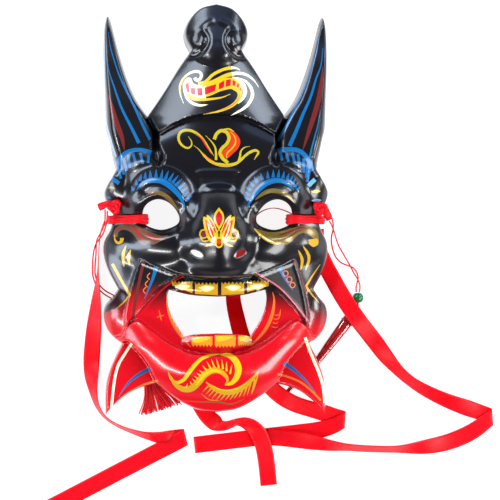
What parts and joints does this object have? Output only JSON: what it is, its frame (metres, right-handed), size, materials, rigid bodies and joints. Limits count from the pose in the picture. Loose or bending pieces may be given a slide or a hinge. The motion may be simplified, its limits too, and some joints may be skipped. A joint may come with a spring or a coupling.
{
  "type": "souvenir nuo mask",
  "caption": "Moulded horned demon face mask with painted ornament, open eyes and mouth, satin ribbon ties and beaded tassels, lying face up.",
  "frame": {"origin": "on the surface the mask lies on, under the middle of its shell", "axes": "+Z out of the face, +Y from the chin to the cap, +X towards the wearer's left"},
  "size_m": [0.327, 0.3671, 0.073],
  "materials": {
    "black_plastic": "glossy, with painted ornament",
    "red_satin": "satin",
    "green_glass": "polished, opaque",
    "clear_sleeve": "clear film"
  },
  "bodies": {
    "root": {"mask_shell": "black_plastic", "ribbon_tie_left": "red_satin", "ribbon_tie_right": "red_satin", "ribbon_left_outer": "red_satin", "ribbon_left_inner": "red_satin", "ribbon_right_inner": "red_satin", "ribbon_right_outer": "red_satin", "pendant_cord_left_a": "red_satin", "pendant_cord_left_b": "red_satin", "pendant_cord_right_a": "red_satin", "pendant_cord_right_b": "red_satin", "tassel_left": "red_satin", "tassel_right": "red_satin", "bead_left": "green_glass", "bead_right": "green_glass", "tassel_sleeve_right": "clear_sleeve"}
  },
  "joints": []
}
